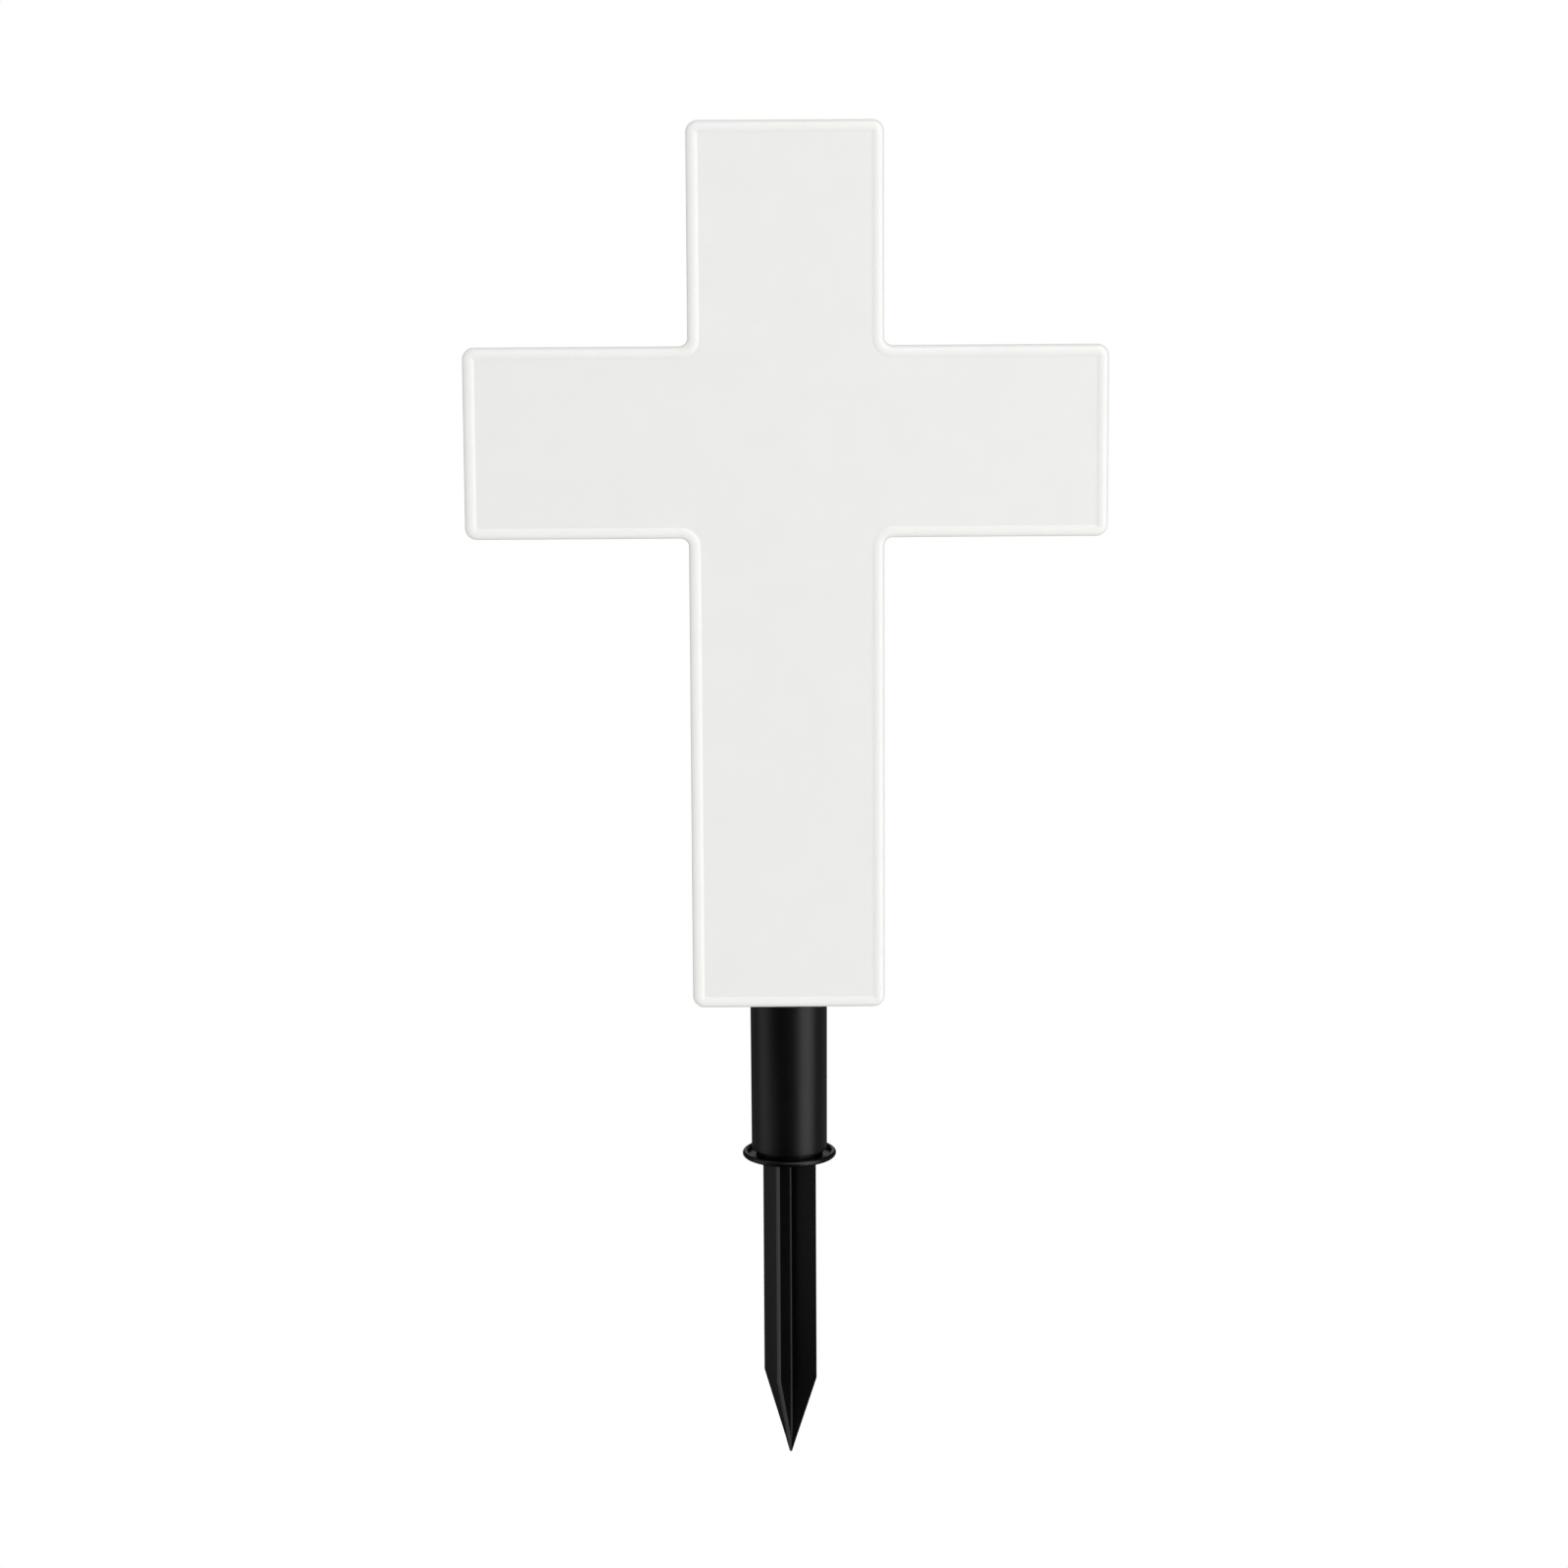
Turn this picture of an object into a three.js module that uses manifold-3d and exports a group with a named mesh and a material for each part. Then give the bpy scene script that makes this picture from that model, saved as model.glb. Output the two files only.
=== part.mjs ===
// A garden grave marker: a plain white cross with a raised round rim, on a black tube that stands
// in the collar of a black ground stake with a pointed spike of four blades.
// Lengths are in millimetres. +X is to the right, -Y is the front and +Z is up. The origin is on the
// stake's axis at the ground line, which is the flat underside of the collar.

import * as THREE from 'three';
import Module from 'manifold-3d';
import { mergeVertices } from 'three/addons/utils/BufferGeometryUtils.js';

const wasm = await Module();
wasm.setup();

// The cross
const LIMB_WIDTH = 78.4; // width of the head and the shaft
const ARM_HEIGHT = 77.5;
const LIMB_REACH = 89.7; // the head and both arms stand out this far from the crossing
const SHAFT_LENGTH = 194.5; // from the arms down to the foot
const FOOT_LEVEL = 68.4; // height of the foot's flat end above the ground line
const CROSS_THICKNESS = 36;
const CORNER_RADIUS = 4.8; // of the eight outer corners
const CROTCH_RADIUS = 3.4; // of the four corners between the limbs
const SIDE_DRAFT = 8; // degrees by which the side walls lean in towards the back
const BACK_ROUNDING = 4;
const CORNER_STEPS = 7;

// The raised rim round the front: round outside, flatter inside, and filleted into the sunk panel
const RIM_RADIUS = 2.6; // of its outer side
const CREST_RADIUS = 3.6; // of its inner side
const RIM_SLOPE = 32; // degrees by which the inner side slopes where it meets the fillet
const RIM_FILLET = 0.9;
const CRISP_CORNER = 0.3; // the smallest radius of the panel's outer corners
const RIM_STEPS = 8;
const CREST_STEPS = 4;
const FILLET_STEPS = 3;
const ROUNDING_STEPS = 4;

// The tube between the cross and the stake
const TUBE_TOP_RADIUS = 15.8;
const TUBE_END_RADIUS = 15.6;
const TUBE_END_LEVEL = 3.9; // height of its lower end above the ground line
const TUBE_EDGE = 0.5;

// The stake's collar: a shallow dish with a rolled lip, and a neck under the tube
const LIP_RADIUS = 1.15; // of the lip's round section
const COLLAR_RADIUS = 19.4;
const COLLAR_FLOOR = 1.2; // thickness of the dish's floor
const COLLAR_FLAT = 15.9; // radius of the flat underside that rests on the ground
const LIP_LEVEL = 1.85; // height of the centre of the lip's section
const NECK_RADIUS = 13.8;
const LIP_STEPS = 10;

// The spike: four blades that cross at right angles
const BLADE_RADIUS = 12.35; // from the axis to a blade's edge
const BLADE_THICKNESS = 1.8;
const BLADE_BEVEL = 1.25; // each blade's edge is cut back on one side, which gives it a keener edge
const BLADE_FILLET = 1; // where two blades meet
const BLADE_FILLET_STEPS = 4;
const BLADE_TURN = -26.5; // degrees by which the blades are turned from facing straight ahead
const SHOULDER_LEVEL = -94.5; // where the blades begin to taper
const TIP_LEVEL = -129;
const TIP_RADIUS = 0.8; // the moulded point is blunt

const GAP = 0.3; // between pieces that touch
const ROUND_STEPS = 64;
const WELD = 1e-4; // points closer together than this are one

const WHITE_PLASTIC = { color: 0xebeae6, roughness: 0.45, metalness: 0 };
const BLACK_PLASTIC = { color: 0x161617, roughness: 0.38, metalness: 0 };

const radians = THREE.MathUtils.degToRad;

// The cross's outline with every edge moved in by inset, as [x, z] points that run anticlockwise
// as seen from the front. The foot's edge has an inset of its own.
function crossOutline(inset, footInset) {
  const half = LIMB_WIDTH / 2 - inset;
  const reach = LIMB_WIDTH / 2 + LIMB_REACH - inset;
  const foot = FOOT_LEVEL + footInset;
  const armBottom = FOOT_LEVEL + SHAFT_LENGTH + inset;
  const armTop = FOOT_LEVEL + SHAFT_LENGTH + ARM_HEIGHT - inset;
  const headTop = FOOT_LEVEL + SHAFT_LENGTH + ARM_HEIGHT + LIMB_REACH - inset;
  const outer = Math.max(CORNER_RADIUS - inset, CRISP_CORNER);
  const crotch = CROTCH_RADIUS + inset;
  const right = [
    [half, foot, outer],
    [half, armBottom, crotch],
    [reach, armBottom, outer],
    [reach, armTop, outer],
    [half, armTop, crotch],
    [half, headTop, outer],
  ];
  const left = right.map(([x, z, radius]) => [-x, z, radius]).reverse();
  const corners = [...right, ...left];
  return corners.flatMap((corner, i) => {
    const before = corners.at(i - 1);
    const after = corners[(i + 1) % corners.length];
    return roundedCorner(before, corner, after);
  });
}

// The points of a quarter circle in place of a square corner. It bulges out at an outer corner and
// in at a crotch, because both run from the incoming edge to the outgoing one.
function roundedCorner(before, [x, z, radius], after) {
  const inX = Math.sign(x - before[0]);
  const inZ = Math.sign(z - before[1]);
  const outX = Math.sign(after[0] - x);
  const outZ = Math.sign(after[1] - z);
  const points = [];
  for (let i = 0; i <= CORNER_STEPS; i++) {
    const angle = (i / CORNER_STEPS) * (Math.PI / 2);
    const along = radius * (1 - Math.sin(angle));
    const across = radius * (1 - Math.cos(angle));
    points.push([x - along * inX + across * outX, z - along * inZ + across * outZ]);
  }
  return points;
}

// The section through the edge of the cross, from the back to the panel: each entry has the inset
// from the outline and the depth, where -Y is the front.
function edgeSection() {
  const draft = radians(SIDE_DRAFT);
  const back = CROSS_THICKNESS / 2;
  const rimDepth = -CROSS_THICKNESS / 2 + RIM_RADIUS;
  const section = [];

  const roundingDepth = back - BACK_ROUNDING;
  const roundingInset = wallInset(roundingDepth) + BACK_ROUNDING / Math.cos(draft);
  for (let i = 0; i <= ROUNDING_STEPS; i++) {
    const angle = (i / ROUNDING_STEPS) * (Math.PI / 2 - draft);
    section.push({
      inset: roundingInset - BACK_ROUNDING * Math.sin(angle),
      depth: roundingDepth + BACK_ROUNDING * Math.cos(angle),
    });
  }

  for (let i = 0; i <= RIM_STEPS; i++) {
    const angle = THREE.MathUtils.lerp(-draft, Math.PI / 2, i / RIM_STEPS);
    section.push({
      inset: RIM_RADIUS * (1 - Math.cos(angle)),
      depth: rimDepth - RIM_RADIUS * Math.sin(angle),
    });
  }

  const steepest = radians(RIM_SLOPE);
  const crestDepth = -CROSS_THICKNESS / 2 + CREST_RADIUS;
  for (let i = 1; i <= CREST_STEPS; i++) {
    const slope = (i / CREST_STEPS) * steepest;
    section.push({
      inset: RIM_RADIUS + CREST_RADIUS * Math.sin(slope),
      depth: crestDepth - CREST_RADIUS * Math.cos(slope),
    });
  }

  const filletInset = RIM_RADIUS + (CREST_RADIUS + RIM_FILLET) * Math.sin(steepest);
  const filletDepth = crestDepth - (CREST_RADIUS + RIM_FILLET) * Math.cos(steepest);
  for (let i = 1; i <= FILLET_STEPS; i++) {
    const slope = (1 - i / FILLET_STEPS) * steepest;
    section.push({
      inset: filletInset - RIM_FILLET * Math.sin(slope),
      depth: filletDepth + RIM_FILLET * Math.cos(slope),
    });
  }
  return section;
}

// The cross body: the edge section carried round the outline, closed by the back and the panel.
// The foot keeps its full height all the way back, so that it sits squarely on the tube.
function crossBody() {
  const rings = edgeSection().map(({ inset, depth }) => {
    const behindRim = depth > -CROSS_THICKNESS / 2 + RIM_RADIUS;
    const footInset = behindRim ? Math.max(0, inset - wallInset(depth)) : inset;
    return crossOutline(inset, footInset).map(([x, z]) => new THREE.Vector3(x, depth, z));
  });
  const count = rings[0].length;
  const positions = rings.flat().flatMap((point) => point.toArray());
  const index = [];
  for (let ring = 0; ring < rings.length - 1; ring++) {
    for (let i = 0; i < count; i++) {
      const next = (i + 1) % count;
      const a = ring * count + i;
      const b = ring * count + next;
      index.push(a, b, a + count, b, b + count, a + count);
    }
  }
  const cap = (ring) =>
    THREE.ShapeUtils.triangulateShape(
      ring.map((point) => new THREE.Vector2(point.x, point.z)),
      [],
    );
  const front = (rings.length - 1) * count;
  for (const [a, b, c] of cap(rings[0])) index.push(a, c, b);
  for (const [a, b, c] of cap(rings.at(-1))) index.push(front + a, front + b, front + c);
  const geometry = new THREE.BufferGeometry();
  geometry.setAttribute('position', new THREE.Float32BufferAttribute(positions, 3));
  geometry.setIndex(index);
  return geometry;
}

// How far the drafted side wall lies inside the outline at a depth behind the rim.
function wallInset(depth) {
  const draft = radians(SIDE_DRAFT);
  const rimDepth = -CROSS_THICKNESS / 2 + RIM_RADIUS;
  const wallTopDepth = rimDepth + RIM_RADIUS * Math.sin(draft);
  return RIM_RADIUS * (1 - Math.cos(draft)) + (depth - wallTopDepth) * Math.tan(draft);
}

// A solid turned about +Z from a profile of [radius, height] points that starts and ends on the axis.
function turned(profile) {
  const points = profile.map(([radius, height]) => new THREE.Vector2(radius, height));
  const geometry = new THREE.LatheGeometry(points, ROUND_STEPS);
  return geometry.rotateX(Math.PI / 2);
}

// The tube, slightly narrower at its lower end, with both of its end edges eased.
function tube() {
  const top = FOOT_LEVEL - GAP;
  return turned([
    [0, TUBE_END_LEVEL],
    [TUBE_END_RADIUS - TUBE_EDGE, TUBE_END_LEVEL],
    [TUBE_END_RADIUS, TUBE_END_LEVEL + TUBE_EDGE],
    [TUBE_TOP_RADIUS, top - TUBE_EDGE],
    [TUBE_TOP_RADIUS - TUBE_EDGE, top],
    [0, top],
  ]);
}

// The collar's dish with its rolled lip, and the neck that the tube stands on.
function collarProfile() {
  const lipCentre = COLLAR_RADIUS - LIP_RADIUS;
  const profile = [
    [0, 0],
    [COLLAR_FLAT, 0],
  ];
  for (let i = 0; i <= LIP_STEPS; i++) {
    const angle = THREE.MathUtils.lerp(-Math.PI / 2, Math.PI, i / LIP_STEPS);
    profile.push([
      lipCentre + LIP_RADIUS * Math.cos(angle),
      LIP_LEVEL + LIP_RADIUS * Math.sin(angle),
    ]);
  }
  profile.push(
    [lipCentre - LIP_RADIUS, COLLAR_FLOOR],
    [NECK_RADIUS, COLLAR_FLOOR],
    [NECK_RADIUS, TUBE_END_LEVEL - GAP],
    [0, TUBE_END_LEVEL - GAP],
  );
  return profile;
}

// The plus-shaped section of the spike, with a bevel along one side of each blade's edge and a fillet
// in each of the four inner corners.
function bladeSection() {
  const half = BLADE_THICKNESS / 2;
  const shape = new THREE.Shape();
  shape.moveTo(BLADE_RADIUS, -half);
  for (let quarter = 0; quarter < 4; quarter++) {
    const turn = (quarter * Math.PI) / 2;
    const place = (x, y) => new THREE.Vector2(x, y).rotateAround(new THREE.Vector2(), turn);
    const edge = place(BLADE_RADIUS, half - BLADE_BEVEL);
    const bevelEnd = place(BLADE_RADIUS - BLADE_BEVEL, half);
    const centre = place(half + BLADE_FILLET, half + BLADE_FILLET);
    const next = place(half, BLADE_RADIUS);
    shape.lineTo(edge.x, edge.y);
    shape.lineTo(bevelEnd.x, bevelEnd.y);
    shape.absarc(centre.x, centre.y, BLADE_FILLET, turn - Math.PI / 2, turn - Math.PI, true);
    if (quarter < 3) shape.lineTo(next.x, next.y);
  }
  return shape;
}

// The spike: its section carried down from inside the collar's floor and cut to a point.
function spike() {
  const top = COLLAR_FLOOR / 2;
  const length = top - TIP_LEVEL;
  const blades = new THREE.ExtrudeGeometry(bladeSection(), {
    depth: length,
    bevelEnabled: false,
    curveSegments: BLADE_FILLET_STEPS,
  });
  blades.translate(0, 0, TIP_LEVEL);
  const envelope = turned([
    [0, TIP_LEVEL],
    [TIP_RADIUS, TIP_LEVEL],
    [BLADE_RADIUS, SHOULDER_LEVEL],
    [BLADE_RADIUS, top],
    [0, top],
  ]);
  return solid(blades).intersect(solid(envelope)).rotate([0, 0, BLADE_TURN]);
}

// The ground stake is one moulding: the collar and the spike joined.
function groundStake() {
  return geometryOf(solid(turned(collarProfile())).add(spike()));
}

// A closed geometry as a solid that can be joined and cut.
function solid(geometry) {
  const bare = geometry.clone();
  bare.deleteAttribute('normal');
  bare.deleteAttribute('uv');
  const merged = mergeVertices(bare, WELD);
  const corners = merged.index.array;
  const triangles = [];
  for (let i = 0; i < corners.length; i += 3) {
    const [a, b, c] = corners.slice(i, i + 3);
    if (a !== b && b !== c && c !== a) triangles.push(a, b, c);
  }
  const mesh = new wasm.Mesh({
    numProp: 3,
    vertProperties: Float32Array.from(merged.attributes.position.array),
    triVerts: Uint32Array.from(triangles),
  });
  return new wasm.Manifold(mesh);
}

// A joined solid as a geometry again.
function geometryOf(body) {
  const mesh = body.getMesh();
  const geometry = new THREE.BufferGeometry();
  geometry.setAttribute('position', new THREE.BufferAttribute(mesh.vertProperties, 3));
  geometry.setIndex(new THREE.BufferAttribute(mesh.triVerts, 1));
  return geometry;
}

function piece(name, geometry, finish) {
  const mesh = new THREE.Mesh(geometry, new THREE.MeshStandardMaterial(finish));
  mesh.name = name;
  return mesh;
}

const marker = new THREE.Group();
marker.add(piece('cross_body', crossBody(), WHITE_PLASTIC));
marker.add(piece('tube', tube(), BLACK_PLASTIC));
marker.add(piece('ground_stake', groundStake(), BLACK_PLASTIC));

export default marker;
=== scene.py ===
# %% [markdown]
# # A white garden grave marker
#
# The object is a plain cross of white moulded plastic with a raised round rim along its front, on a
# short black tube. The tube stands in the dish of a black ground stake, whose spike of four blades
# is pushed into the earth. The CAD model gives the true size and place of every piece, so each
# visible piece here is built over its CAD solid, finer and with softer edges, and then stands for it.

# %% Load the frame
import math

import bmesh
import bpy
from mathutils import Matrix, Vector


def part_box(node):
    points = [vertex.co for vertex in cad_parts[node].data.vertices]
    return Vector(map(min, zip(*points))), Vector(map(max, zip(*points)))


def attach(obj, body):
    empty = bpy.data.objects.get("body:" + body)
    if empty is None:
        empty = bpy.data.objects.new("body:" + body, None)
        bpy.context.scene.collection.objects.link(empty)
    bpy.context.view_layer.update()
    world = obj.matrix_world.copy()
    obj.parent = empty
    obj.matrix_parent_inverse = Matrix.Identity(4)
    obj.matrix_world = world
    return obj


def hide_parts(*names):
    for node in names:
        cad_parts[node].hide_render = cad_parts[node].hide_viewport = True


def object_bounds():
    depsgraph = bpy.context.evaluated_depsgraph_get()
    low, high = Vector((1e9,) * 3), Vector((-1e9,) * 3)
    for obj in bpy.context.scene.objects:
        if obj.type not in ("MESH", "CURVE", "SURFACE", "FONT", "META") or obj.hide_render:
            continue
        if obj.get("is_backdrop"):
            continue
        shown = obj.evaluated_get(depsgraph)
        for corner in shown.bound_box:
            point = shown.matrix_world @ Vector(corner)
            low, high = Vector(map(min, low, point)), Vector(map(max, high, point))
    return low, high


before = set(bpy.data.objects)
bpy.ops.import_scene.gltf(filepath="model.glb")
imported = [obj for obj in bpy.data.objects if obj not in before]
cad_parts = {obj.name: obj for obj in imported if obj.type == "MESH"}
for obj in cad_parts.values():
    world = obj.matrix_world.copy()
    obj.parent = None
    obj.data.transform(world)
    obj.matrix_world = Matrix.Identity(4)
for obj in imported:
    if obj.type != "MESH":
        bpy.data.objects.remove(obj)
cad_low, cad_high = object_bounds()

# %% [markdown]
# ## Sizes
#
# The boxes of the CAD nodes give the levels and the outer sizes. What a box can't tell, such as the
# width of a limb or the round of an edge, is named here in metres, with MM for a millimetre. Working
# from the boxes keeps the fine meshes on the CAD solids if the marker is ever made to another height.

MM = 0.001

cross_low, cross_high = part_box("cross_body")
tube_low, tube_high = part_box("tube")
stake_low, stake_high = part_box("ground_stake")

FOOT_LEVEL = cross_low.z
HEAD_LEVEL = cross_high.z
ARM_REACH = cross_high.x
FRONT = cross_low.y
BACK = cross_high.y
LIMB_WIDTH = 78.4 * MM
ARM_HEIGHT = 77.5 * MM
LIMB_REACH = ARM_REACH - LIMB_WIDTH / 2
ARM_TOP = HEAD_LEVEL - LIMB_REACH
ARM_BOTTOM = ARM_TOP - ARM_HEIGHT

for word, value in (("height", cad_high.z - cad_low.z), ("span", 2 * ARM_REACH), ("depth", BACK - FRONT)):
    print(f"{word}: {value / MM:.1f} mm")

# %% [markdown]
# ## The camera
#
# The photograph looks at the marker from a little above, with a long lens: upright edges lean
# together only slightly towards the foot, and the collar shows as a flat oval. A camera 2.1 m away
# and 12.5 degrees up gives both. It is placed by its direction and distance, and turned a third of a
# degree about its own axis, because the photograph's marker leans by that much.

# %% Place the camera
CAMERA_ELEVATION = 12.5
CAMERA_AZIMUTH = -0.52
CAMERA_ROLL = -0.30
CAMERA_DISTANCE = 2.121
CAMERA_TARGET = Vector((-1.45 * MM, 0, 158.3 * MM))
LENS = 119.2
SENSOR = 36.0


def direction(azimuth, elevation):
    """The unit vector from the marker towards a place, with azimuth 0 at the front and 90 on the right."""
    a, e = math.radians(azimuth), math.radians(elevation)
    return Vector((math.sin(a) * math.cos(e), -math.cos(a) * math.cos(e), math.sin(e)))


def looking(position, target, roll=0.0):
    """The matrix of a camera or a lamp at position that faces target."""
    turn = (target - position).to_track_quat("-Z", "Y").to_matrix().to_4x4()
    return Matrix.Translation(position) @ turn @ Matrix.Rotation(math.radians(roll), 4, "Z")


camera = bpy.data.objects.new("camera", bpy.data.cameras.new("camera"))
camera.data.lens = LENS
camera.data.sensor_width = SENSOR
bpy.context.scene.collection.objects.link(camera)
camera_position = CAMERA_TARGET + CAMERA_DISTANCE * direction(CAMERA_AZIMUTH, CAMERA_ELEVATION)
camera.matrix_world = looking(camera_position, CAMERA_TARGET, CAMERA_ROLL)
bpy.context.scene.camera = camera
print(f"camera at {[round(v, 3) for v in camera_position]}")

# %% [markdown]
# ## Lofting
#
# Both the cross and the spike are moulded shapes with one closed section after another, so one
# helper serves them: it takes rings of points that all have the same count, joins neighbouring rings
# with four-sided faces, and closes the two ends. Tools such as Bevel would round the edges too, but
# a loft keeps every edge where the drawing puts it and gives clean strips of faces.

# %% Loft rings into a closed mesh
def loft(name, rings, open_end=False):
    """A mesh object through rings of points, from the first to the last, with its ends closed."""
    shape = bmesh.new()
    rows = [[shape.verts.new(point) for point in ring] for ring in rings]
    for row, following in zip(rows, rows[1:]):
        for i in range(len(row)):
            j = (i + 1) % len(row)
            shape.faces.new((row[i], row[j], following[j], following[i])).smooth = True
    shape.faces.new(rows[0][::-1])
    if not open_end:
        shape.faces.new(rows[-1])
    bmesh.ops.recalc_face_normals(shape, faces=shape.faces)
    mesh = bpy.data.meshes.new(name)
    shape.to_mesh(mesh)
    shape.free()
    piece = bpy.data.objects.new(name, mesh)
    bpy.context.scene.collection.objects.link(piece)
    print(f"{name}: {len(mesh.polygons)} faces")
    return piece


# %% [markdown]
# ## The outline of the cross
#
# Seen from the front the cross has twelve corners. The eight outer ones are rounded like a fingertip
# and the four between the limbs have a smaller radius. Every line along the rim is the same outline
# moved in by some distance: an outer corner then gets tighter and an inner one wider, which is what
# the photograph shows along the inside of the rim.

# %% Draw the outline
CORNER_RADIUS = 4.8 * MM
CROTCH_RADIUS = 3.4 * MM
CRISP_CORNER = 0.3 * MM
CORNER_STEPS = 14


def quarter_corner(before, corner, after):
    """The points of a quarter circle in place of a square corner."""
    *place, radius = corner
    place = Vector(place)
    into = (place - Vector(before[:2])).normalized()
    out = (Vector(after[:2]) - place).normalized()
    points = []
    for i in range(CORNER_STEPS + 1):
        angle = i / CORNER_STEPS * math.pi / 2
        point = place - radius * (1 - math.sin(angle)) * into + radius * (1 - math.cos(angle)) * out
        points.append(tuple(point))
    return points


def cross_outline(inset, foot_inset):
    """The outline moved in by inset, as (x, z) points that run anticlockwise from the foot."""
    half = LIMB_WIDTH / 2 - inset
    reach = ARM_REACH - inset
    outer = max(CORNER_RADIUS - inset, CRISP_CORNER)
    crotch = CROTCH_RADIUS + inset
    right = [
        (half, FOOT_LEVEL + foot_inset, outer),
        (half, ARM_BOTTOM + inset, crotch),
        (reach, ARM_BOTTOM + inset, outer),
        (reach, ARM_TOP - inset, outer),
        (half, ARM_TOP - inset, crotch),
        (half, HEAD_LEVEL - inset, outer),
    ]
    corners = right + [(-x, z, radius) for x, z, radius in reversed(right)]
    count = len(corners)
    outline = []
    for i, corner in enumerate(corners):
        outline += quarter_corner(corners[i - 1], corner, corners[(i + 1) % count])
    return outline


print(f"outline: {len(cross_outline(0, 0))} points")

# %% [markdown]
# ## The section through its edge
#
# A saw cut through the edge would show, from the back: a rounded edge, a side wall that leans in by
# eight degrees so that the moulding comes out of its tool, the fine line where the two halves of the
# tool met, the rim, and a small fillet down to the sunk panel. The rim is tightly rounded on its
# outer side and flatter on its inner side, because the photograph shows a wide even band there and
# only a thin dark line at the outside. The section is a list of pairs, how far in from the outline
# and how deep, so that the outline can be carried along it.

# %% Draw the section
SIDE_DRAFT = math.radians(8)
BACK_ROUNDING = 4 * MM
RIM_RADIUS = 2.6 * MM
CREST_RADIUS = 3.6 * MM
RIM_SLOPE = math.radians(32)
RIM_FILLET = 0.9 * MM
RIM_STEPS = 18
CREST_STEPS = 10
FILLET_STEPS = 6
ROUNDING_STEPS = 10
SUPPORT = 0.3 * MM
PARTING_BEHIND_RIM = 3 * MM
PARTING_WIDTH = 0.5 * MM
PARTING_DEPTH = 0.2 * MM

rim_depth = FRONT + RIM_RADIUS


def wall_inset(depth):
    """How far the leaning side wall lies inside the outline at a depth behind the rim."""
    start = RIM_RADIUS * (1 - math.cos(SIDE_DRAFT))
    start_depth = rim_depth + RIM_RADIUS * math.sin(SIDE_DRAFT)
    return start + (depth - start_depth) * math.tan(SIDE_DRAFT)


def back_edge():
    """The rounded edge between the back and the side wall."""
    centre_depth = BACK - BACK_ROUNDING
    centre_inset = wall_inset(centre_depth) + BACK_ROUNDING / math.cos(SIDE_DRAFT)
    points = [(centre_inset + SUPPORT, BACK)]
    for i in range(ROUNDING_STEPS + 1):
        angle = i / ROUNDING_STEPS * (math.pi / 2 - SIDE_DRAFT)
        inset = centre_inset - BACK_ROUNDING * math.sin(angle)
        points.append((inset, centre_depth + BACK_ROUNDING * math.cos(angle)))
    return points


def side_wall():
    """The flat of the side wall, with the parting line of the mould near the rim."""
    line = rim_depth + PARTING_BEHIND_RIM
    depths = [BACK - BACK_ROUNDING - SUPPORT, line + PARTING_WIDTH, line + PARTING_WIDTH / 2]
    points = [(wall_inset(depth), depth) for depth in depths]
    points.append((wall_inset(line) + PARTING_DEPTH, line))
    depths = [line - PARTING_WIDTH / 2, line - PARTING_WIDTH, rim_depth + 2 * SUPPORT]
    return points + [(wall_inset(depth), depth) for depth in depths]


def rim():
    """The rim: round outside, flatter inside, with a small fillet down to the panel."""
    points = []
    for i in range(RIM_STEPS + 1):
        angle = -SIDE_DRAFT + i / RIM_STEPS * (math.pi / 2 + SIDE_DRAFT)
        points.append((RIM_RADIUS * (1 - math.cos(angle)), rim_depth - RIM_RADIUS * math.sin(angle)))
    for i in range(1, CREST_STEPS + 1):
        slope = i / CREST_STEPS * RIM_SLOPE
        inset = RIM_RADIUS + CREST_RADIUS * math.sin(slope)
        points.append((inset, FRONT + CREST_RADIUS * (1 - math.cos(slope))))
    fillet_inset = RIM_RADIUS + (CREST_RADIUS + RIM_FILLET) * math.sin(RIM_SLOPE)
    fillet_depth = FRONT + CREST_RADIUS - (CREST_RADIUS + RIM_FILLET) * math.cos(RIM_SLOPE)
    for i in range(1, FILLET_STEPS + 1):
        slope = (1 - i / FILLET_STEPS) * RIM_SLOPE
        inset = fillet_inset - RIM_FILLET * math.sin(slope)
        points.append((inset, fillet_depth + RIM_FILLET * math.cos(slope)))
    points.append((fillet_inset + SUPPORT, points[-1][1]))
    return points


edge_section = back_edge() + side_wall() + rim()
print(f"section: {len(edge_section)} points, the panel starts {edge_section[-1][0] / MM:.1f} mm in")

# %% [markdown]
# ## The cross body
#
# The section is carried round the outline, one ring for each of its points. The foot is the one place
# that differs: its end stays square to the front all the way back, so that it sits flat on the tube.

# %% Build the cross body
def cross_ring(inset, depth):
    """One ring of the cross, with the foot's end kept square behind the rim."""
    foot_inset = inset if depth <= rim_depth else max(0, inset - wall_inset(depth))
    return [(x, depth, z) for x, z in cross_outline(inset, foot_inset)]


cross = loft("white_cross", [cross_ring(inset, depth) for inset, depth in edge_section])
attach(cross, "root")
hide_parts("cross_body")

# %% [markdown]
# ## The tube
#
# The tube is a plain round pipe, slightly narrower at its lower end, with both ends eased so that they
# don't cut. A turned profile makes it: the profile is a list of points, each with a radius and a level,
# and every one of them becomes a circle.

# %% Turn the tube
ROUND_STEPS = 128
TUBE_TAPER = 0.2 * MM
TUBE_TOP_RADIUS = tube_high.x
TUBE_END_RADIUS = TUBE_TOP_RADIUS - TUBE_TAPER
TUBE_EDGE = 0.5 * MM
EDGE_STEPS = 5


def circle(radius, level):
    turn = 2 * math.pi / ROUND_STEPS
    return [(radius * math.cos(i * turn), radius * math.sin(i * turn), level) for i in range(ROUND_STEPS)]


def turned(name, profile):
    """A round piece from (radius, level) points that run from its first flat end to its last."""
    return loft(name, [circle(radius, level) for radius, level in profile])


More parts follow.
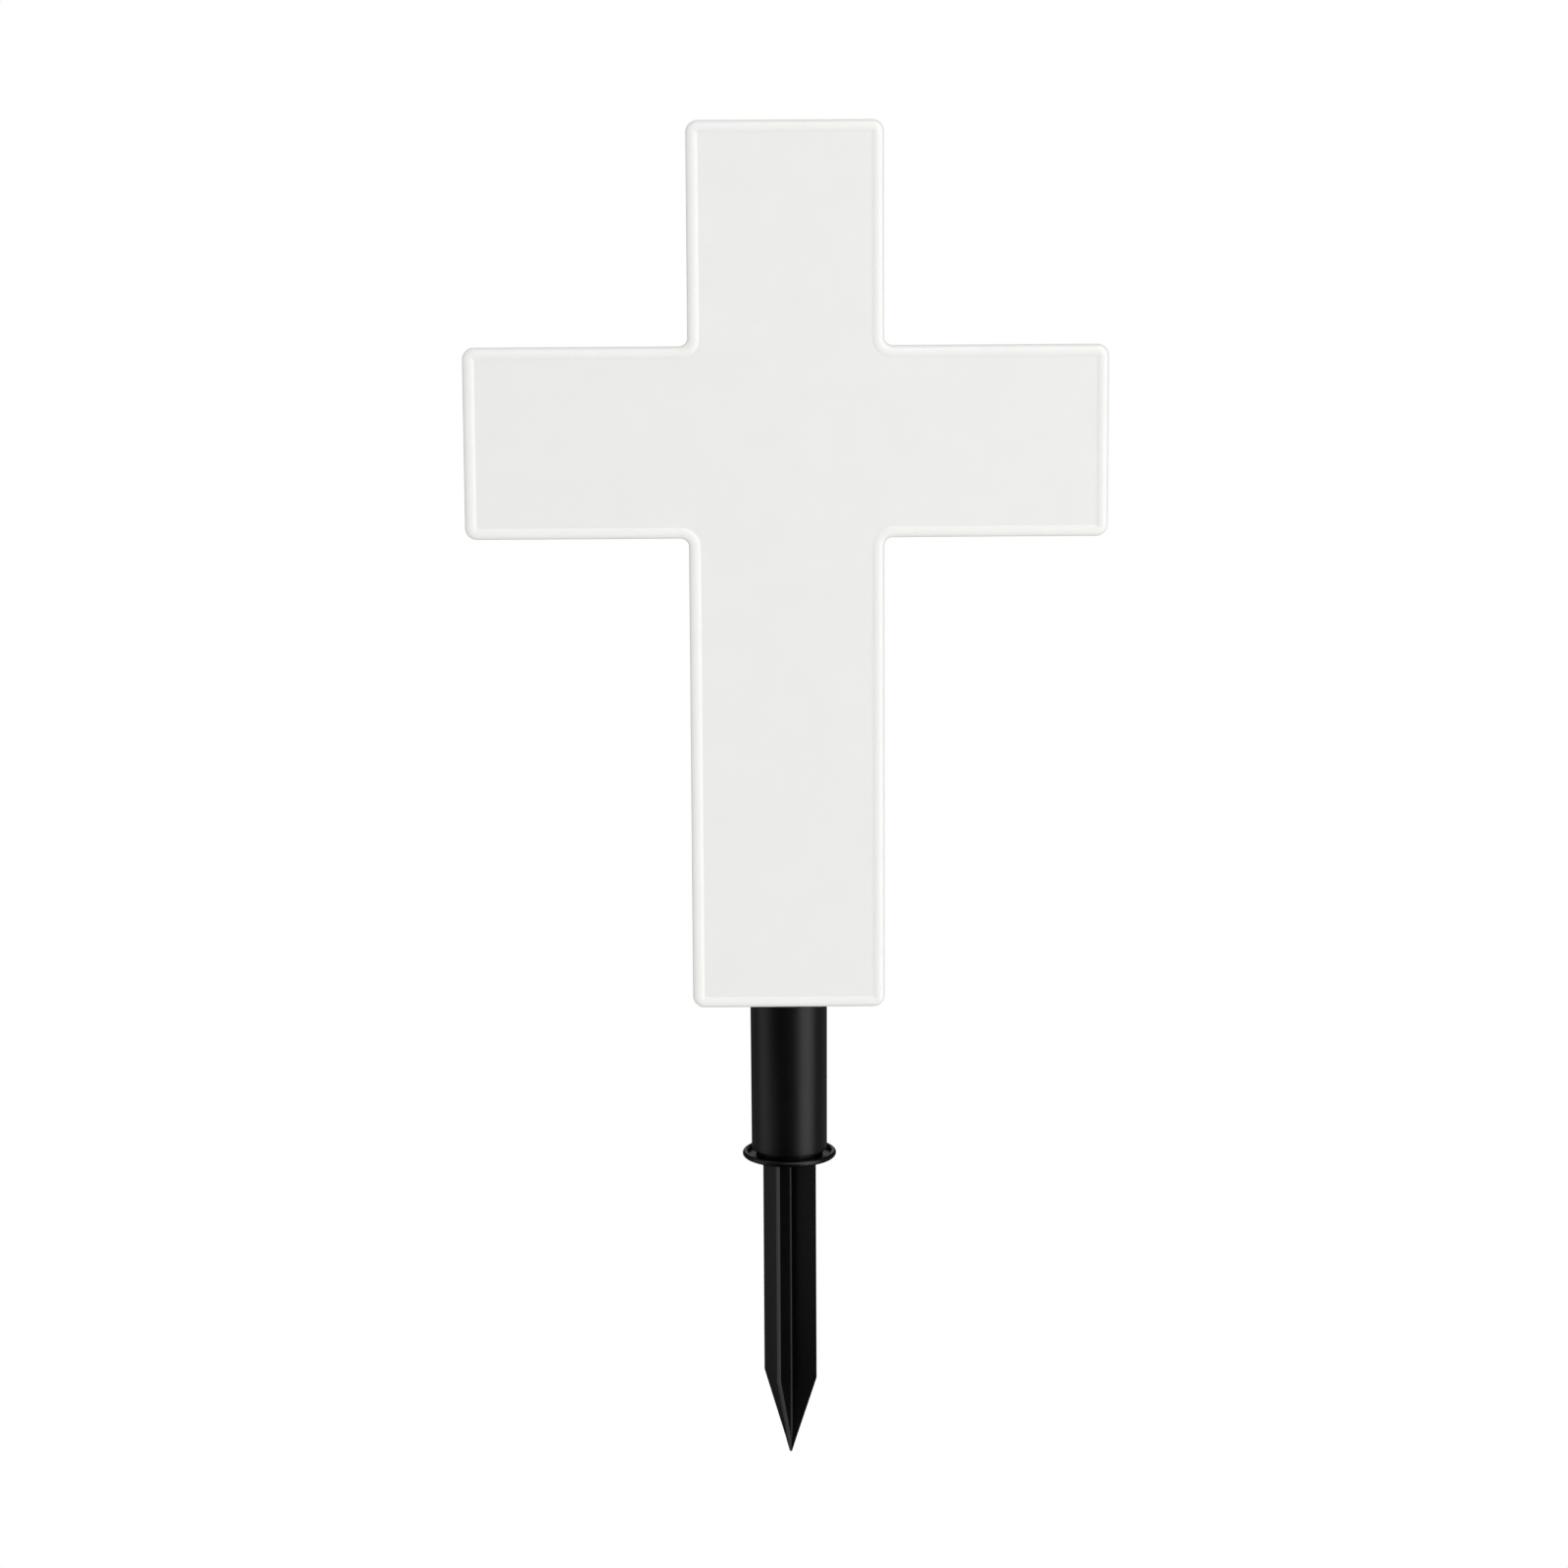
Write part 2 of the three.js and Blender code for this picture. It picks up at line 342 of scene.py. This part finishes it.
def arc(centre_radius, centre_level, size, start, end, steps):
    """Points of an arc in a turned profile, with angles in degrees from straight outwards."""
    points = []
    for i in range(steps + 1):
        angle = math.radians(start + i / steps * (end - start))
        points.append((centre_radius + size * math.cos(angle), centre_level + size * math.sin(angle)))
    return points


lower_edge = arc(TUBE_END_RADIUS - TUBE_EDGE, tube_low.z + TUBE_EDGE, TUBE_EDGE, -90, 0, EDGE_STEPS)
upper_edge = arc(TUBE_TOP_RADIUS - TUBE_EDGE, tube_high.z - TUBE_EDGE, TUBE_EDGE, 0, 90, EDGE_STEPS)
tube = turned("black_tube", lower_edge + upper_edge)
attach(tube, "root")
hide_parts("tube")

# %% [markdown]
# ## The collar
#
# The stake's collar is a shallow dish with a rolled lip, seen in the photograph as an oval ring with
# a dark groove inside it. Inside the groove a neck rises, and the tube stands on it, so the tube's end
# is a few millimetres above the floor of the dish. The lip's section is most of a circle.

# %% Turn the collar
LIP_RADIUS = 1.15 * MM
LIP_LEVEL = 1.85 * MM
COLLAR_FLOOR = 1.2 * MM
COLLAR_FLAT = 15.9 * MM
NECK_RADIUS = 13.8 * MM
NECK_EASE = 0.3 * MM
LIP_STEPS = 20
LIP_START = -80

lip_centre = stake_high.x - LIP_RADIUS
neck_top = stake_high.z
collar_profile = [(COLLAR_FLAT, 0.0)]
collar_profile += arc(lip_centre, LIP_LEVEL, LIP_RADIUS, LIP_START, 180, LIP_STEPS)
collar_profile += [(lip_centre - LIP_RADIUS, COLLAR_FLOOR), (NECK_RADIUS, COLLAR_FLOOR)]
collar_profile += arc(NECK_RADIUS - NECK_EASE, neck_top - NECK_EASE, NECK_EASE, 0, 90, EDGE_STEPS)
collar = turned("collar", collar_profile)

# %% [markdown]
# ## The spike
#
# Four blades cross at right angles, which keeps the spike stiff with little plastic. Its section is a
# plus sign with a fillet in each inner corner. One side of every blade's edge is cut back by a bevel,
# which the photograph shows as the bright band down the front blade, and all the edges are eased. The
# blades keep their thickness while they shrink towards the point, and only the last few millimetres
# thin out as well. The point itself is a small blunt round, as moulded points are.

# %% Loft the spike
BLADE_RADIUS = 12.35 * MM
BLADE_THICKNESS = 1.8 * MM
BLADE_FILLET = 1.0 * MM
BLADE_BEVEL = 1.25 * MM
BLADE_EASE = 0.12 * MM
BEVEL_TURN = 45
FILLET_SHARE = 0.6
BLADE_TURN = math.radians(-26.5)
SHOULDER_LEVEL = -94.5 * MM
SHOULDER_SUPPORT = 3 * MM
SHOULDER_EASE = 0.4 * MM
TIP_RADIUS = 0.8 * MM
THINNING_RADIUS = 2.6 * MM
SPIKE_TOP = COLLAR_FLOOR / 2
TAPER_STEPS = 16
TAPER_CROWDING = 1.5
TIP_STEPS = 6
TIP_ARC = math.radians(80)
CORNER_POINTS = 5


def corner_arc(centre_x, centre_y, size, start, end):
    """Points of an arc in the spike's section, with angles in degrees."""
    points = []
    for i in range(CORNER_POINTS + 1):
        angle = math.radians(start + i / CORNER_POINTS * (end - start))
        points.append((centre_x + size * math.cos(angle), centre_y + size * math.sin(angle)))
    return points


def spike_ring(radius, level):
    """The plus-shaped section at one level, for blades that reach out to radius."""
    thin = min(1.0, radius / THINNING_RADIUS)
    half = BLADE_THICKNESS / 2 * thin
    ease = BLADE_EASE * thin
    bevel = BLADE_BEVEL * thin
    turn_in = ease * math.tan(math.radians(BEVEL_TURN / 2))
    fillet = min(BLADE_FILLET, (radius - half - bevel - ease) * FILLET_SHARE)
    blade = corner_arc(radius - ease, ease - half, ease, -90, 0)
    blade += corner_arc(radius - ease, half - bevel - turn_in, ease, 0, BEVEL_TURN)
    blade += corner_arc(radius - bevel - turn_in, half - ease, ease, BEVEL_TURN, 90)
    blade += corner_arc(half + fillet, half + fillet, fillet, -90, -180)
    ring = []
    for quarter in range(4):
        turn = BLADE_TURN + quarter * math.pi / 2
        for x, y in blade:
            spun_x = x * math.cos(turn) - y * math.sin(turn)
            spun_y = x * math.sin(turn) + y * math.cos(turn)
            ring.append((spun_x, spun_y, level))
    return ring


tip_level = stake_low.z
tip_centre = tip_level + TIP_RADIUS
straight_levels = [SPIKE_TOP, SHOULDER_LEVEL + SHOULDER_SUPPORT, SHOULDER_LEVEL + SHOULDER_EASE]
levels = [(BLADE_RADIUS, level) for level in straight_levels]

shares = [SHOULDER_EASE / (SHOULDER_LEVEL - tip_centre)]
shares += [1 - (1 - i / TAPER_STEPS) ** TAPER_CROWDING for i in range(1, TAPER_STEPS + 1)]
for share in shares:
    radius = BLADE_RADIUS + share * (TIP_RADIUS - BLADE_RADIUS)
    levels.append((radius, SHOULDER_LEVEL + share * (tip_centre - SHOULDER_LEVEL)))

for i in range(1, TIP_STEPS + 1):
    angle = i / TIP_STEPS * TIP_ARC
    levels.append((TIP_RADIUS * math.cos(angle), tip_centre - TIP_RADIUS * math.sin(angle)))
spike = loft("spike", [spike_ring(radius, level) for radius, level in levels])

# %% [markdown]
# ## One moulding
#
# Collar and spike come out of one mould, so they are joined into one skin with a Boolean union. Two
# meshes that only overlap would look the same from outside but leave hidden faces inside them.

# %% Join the collar and the spike
SHARP_ANGLE = math.radians(40)


def joined(first, second, name):
    """One closed piece from two that overlap."""
    union = first.modifiers.new("union", "BOOLEAN")
    union.operation = "UNION"
    union.solver = "EXACT"
    union.object = second
    graph = bpy.context.evaluated_depsgraph_get()
    mesh = bpy.data.meshes.new_from_object(first.evaluated_get(graph))
    mesh.name = name
    for source in (first, second):
        bpy.data.objects.remove(source)
    piece = bpy.data.objects.new(name, mesh)
    bpy.context.scene.collection.objects.link(piece)
    return piece


stake = joined(collar, spike, "black_ground_stake")
stake.data.polygons.foreach_set("use_smooth", [True] * len(stake.data.polygons))
stake.data.set_sharp_from_angle(angle=SHARP_ANGLE)
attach(stake, "root")
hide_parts("ground_stake")
print(f"ground stake: {len(stake.data.polygons)} faces")

# %% [markdown]
# ## White plastic
#
# The cross is a slightly milky plastic. Light sinks about a millimetre into it, which softens the rim,
# and its skin has a faint cloudiness from the way the plastic cooled. The cloudiness goes in as a
# small change of colour and gloss, and a very low bump breaks up the reflections. The same recipe
# serves every plastic here, with other tones and sizes, so it is a function.

# %% Mix the white
CLOUD_DETAIL = 3
GRAIN_DETAIL = 2
MILKINESS = 0.25
MILKY_DEPTH = 1.2 * MM


def plastic(name, colour, other_colour, cloud_size, grain_size, grain_height, roughness):
    """A plastic whose colour wanders a little between two tones, with a fine moulded grain."""
    material = bpy.data.materials.new(name)
    material.use_nodes = True
    nodes, links = material.node_tree.nodes, material.node_tree.links
    shader = nodes["Principled BSDF"]

    place = nodes.new("ShaderNodeTexCoord")
    clouds = nodes.new("ShaderNodeTexNoise")
    clouds.inputs["Scale"].default_value = 1 / cloud_size
    clouds.inputs["Detail"].default_value = CLOUD_DETAIL
    tones = nodes.new("ShaderNodeMix")
    tones.data_type = "RGBA"
    tones.inputs["A"].default_value = (*colour, 1)
    tones.inputs["B"].default_value = (*other_colour, 1)
    links.new(place.outputs["Object"], clouds.inputs["Vector"])
    links.new(clouds.outputs["Fac"], tones.inputs["Factor"])
    links.new(tones.outputs["Result"], shader.inputs["Base Color"])

    gloss = nodes.new("ShaderNodeMapRange")
    gloss.inputs["To Min"].default_value = roughness[0]
    gloss.inputs["To Max"].default_value = roughness[1]
    links.new(clouds.outputs["Fac"], gloss.inputs["Value"])
    links.new(gloss.outputs["Result"], shader.inputs["Roughness"])

    grain = nodes.new("ShaderNodeTexNoise")
    grain.inputs["Scale"].default_value = 1 / grain_size
    grain.inputs["Detail"].default_value = GRAIN_DETAIL
    bump = nodes.new("ShaderNodeBump")
    bump.inputs["Strength"].default_value = 1
    bump.inputs["Distance"].default_value = grain_height
    links.new(place.outputs["Object"], grain.inputs["Vector"])
    links.new(grain.outputs["Fac"], bump.inputs["Height"])
    links.new(bump.outputs["Normal"], shader.inputs["Normal"])
    return material


def make_milky(material):
    """Lets light sink a little into a plastic, and red light the deepest."""
    shader = material.node_tree.nodes["Principled BSDF"]
    shader.inputs["Subsurface Weight"].default_value = MILKINESS
    shader.inputs["Subsurface Radius"].default_value = (1.0, 0.95, 0.85)
    shader.inputs["Subsurface Scale"].default_value = MILKY_DEPTH


white_plastic = plastic(
    "white_plastic",
    colour=(0.83, 0.834, 0.812),
    other_colour=(0.86, 0.862, 0.845),
    cloud_size=18 * MM,
    grain_size=1.6 * MM,
    grain_height=0.012 * MM,
    roughness=(0.30, 0.38),
)
make_milky(white_plastic)
cross.data.materials.append(white_plastic)

# %% [markdown]
# ## The sunk panel
#
# In the photograph the panel is a tone darker and flatter than the rim. The same white goes on it, a
# little lower in colour and with a coarser skin, on the one face that lies inside the fillet.

# %% Give the panel its own skin
PANEL = 1
FLAT = 0.06 * MM

panel_plastic = plastic(
    "white_panel_plastic",
    colour=(0.79, 0.793, 0.772),
    other_colour=(0.815, 0.817, 0.799),
    cloud_size=18 * MM,
    grain_size=0.8 * MM,
    grain_height=0.012 * MM,
    roughness=(0.48, 0.56),
)
make_milky(panel_plastic)
cross.data.materials.append(panel_plastic)

panel_depth = edge_section[-1][1]
points = cross.data.vertices
panel_faces = 0
for face in cross.data.polygons:
    if all(abs(points[i].co.y - panel_depth) < FLAT for i in face.vertices):
        face.material_index = PANEL
        panel_faces += 1
print(f"the panel and the flat end of its fillet: {panel_faces} faces")

# %% [markdown]
# ## Black plastic
#
# The tube and the stake are black plastic with a satin skin: nearly no colour of its own, and a broad
# soft reflection. The stake is a little glossier than the tube, as a moulding is beside an extruded
# pipe, so the collar's lip and the edges of the blades catch brighter lines.

# %% Mix the blacks
black_tube = plastic(
    "black_tube_plastic",
    colour=(0.0012, 0.0012, 0.0013),
    other_colour=(0.0018, 0.0018, 0.0019),
    cloud_size=12 * MM,
    grain_size=0.5 * MM,
    grain_height=0.004 * MM,
    roughness=(0.36, 0.42),
)
tube.data.materials.append(black_tube)

black_stake = plastic(
    "black_stake_plastic",
    colour=(0.0012, 0.0012, 0.0012),
    other_colour=(0.0020, 0.0020, 0.0020),
    cloud_size=8 * MM,
    grain_size=0.6 * MM,
    grain_height=0.006 * MM,
    roughness=(0.28, 0.36),
)
stake.data.materials.append(black_stake)

# %% [markdown]
# ## The table
#
# The photograph has a pure white ground without a horizon or a shadow. A round white table that curves
# up into a wall on every side gives that from every camera angle. It glows by itself, like a light
# table, with a strength of exactly one, because a stronger glow would eat into the black edges. Only
# the camera sees it: it is hidden from reflections, which keeps the black tube dark where the
# photograph's is, and it casts no shadow, so lamps may reach below it.

# %% Build the table
TABLE_RADIUS = 9.0
TABLE_CURVE = 3.0
TABLE_WALL = 3.0
TABLE_CENTRE = 0.01
CURVE_STEPS = 24

table_level = stake_low.z
table_profile = [(TABLE_CENTRE, table_level)]
table_profile += arc(TABLE_RADIUS, table_level + TABLE_CURVE, TABLE_CURVE, -90, 0, CURVE_STEPS)
table_profile.append((TABLE_RADIUS + TABLE_CURVE, table_level + TABLE_CURVE + TABLE_WALL))
table = loft("table", [circle(radius, level) for radius, level in table_profile], open_end=True)

white_glow = bpy.data.materials.new("white_glow")
white_glow.use_nodes = True
glow = white_glow.node_tree.nodes["Principled BSDF"]
glow.inputs["Base Color"].default_value = (0, 0, 0, 1)
glow.inputs["Specular IOR Level"].default_value = 0
glow.inputs["Emission Color"].default_value = (1, 1, 1, 1)
glow.inputs["Emission Strength"].default_value = 1
table.data.materials.append(white_glow)
table.visible_diffuse = False
table.visible_glossy = False
table.visible_transmission = False
table.visible_shadow = False
table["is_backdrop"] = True

# %% [markdown]
# ## The light
#
# The photograph's light does two jobs that ask for different lamps. The white cross needs a soft even
# light: a pale dome gives a little more than half of it, a large key box in front and to the right
# the rest, and a small side box brightens the right flank of the rim. These light only the white,
# because they are hidden from reflections.
#
# The black pieces have nearly no colour and show only what they mirror, so cards that are seen in
# reflections alone draw the bands on them. The tube mirrors what lies a little below the line of
# sight, all round. A bright card on the right makes its strong highlight, a dimmer one on the left the
# second band, and two faint ones behind it keep its flanks from going black. A card straight behind
# the marker glints along the ends of the collar's lip and the upper edges of the rim, one overhead
# lights the front of the lip, and a small one close to the spike the flat sides of the blades. Every
# lamp is given by the brightness of its surface, because that is what its reflection shows.

# %% Set the soft boxes
CROSS_CENTRE = Vector((0, 0, 0.16))
SPIKE_CENTRE = Vector((0, 0, -0.05))
DOME_BRIGHTNESS = 0.74


def soft_box(name, place, size, brightness, aim=CROSS_CENTRE):
    """A rectangular lamp that faces the marker, from a place given as azimuth, elevation and distance."""
    azimuth, elevation, distance = place
    width, height = size
    lamp = bpy.data.lights.new(name, "AREA")
    lamp.shape = "RECTANGLE"
    lamp.size = width
    lamp.size_y = height
    lamp.energy = brightness * math.pi * width * height
    holder = bpy.data.objects.new(name, lamp)
    holder.matrix_world = looking(aim + distance * direction(azimuth, elevation), aim)
    holder.visible_camera = False
    bpy.context.scene.collection.objects.link(holder)
    return holder


boxes = [
    soft_box("key_box", place=(24, 17, 3.4), size=(2.9, 2.3), brightness=2.24),
    soft_box("side_box", place=(60, -30, 1.0), size=(0.8, 0.6), brightness=0.5),
]
for box in boxes:
    box.visible_glossy = False

cards = [
    soft_box("top_card", place=(30, 55, 2.6), size=(2.4, 1.6), brightness=1.4),
    soft_box("right_card", place=(54, 5, 1.5), size=(1.25, 4.8), brightness=1.45),
    soft_box("left_card", place=(-81.5, 5, 1.5), size=(1.05, 4.8), brightness=0.56),
    soft_box("back_left_card", place=(-130, -13, 2.0), size=(2.4, 1.3), brightness=0.10),
    soft_box("back_right_card", place=(130, -13, 2.0), size=(2.4, 1.3), brightness=0.15),
    soft_box("back_card", place=(180, 15, 2.0), size=(1.1, 2.4), brightness=0.45),
    soft_box("spike_card", place=(-50, -13, 0.5), size=(0.24, 0.1), brightness=0.42, aim=SPIKE_CENTRE),
]
for card in cards:
    card.visible_diffuse = False

world = bpy.data.worlds.new("studio")
world.use_nodes = True
dome = world.node_tree.nodes["Background"]
dome.inputs["Color"].default_value = (1, 1, 1, 1)
dome.inputs["Strength"].default_value = DOME_BRIGHTNESS
world.cycles_visibility.glossy = False
bpy.context.scene.world = world
bpy.context.scene.view_settings.view_transform = "Standard"
print(f"{len(boxes)} soft boxes and {len(cards)} reflection cards")

# %% Measure how far the box moved
visual_low, visual_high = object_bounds()
low_shift = (visual_low - cad_low).length
high_shift = (visual_high - cad_high).length
print(f"the box's corners moved by {low_shift / MM:.2f} mm and {high_shift / MM:.2f} mm")
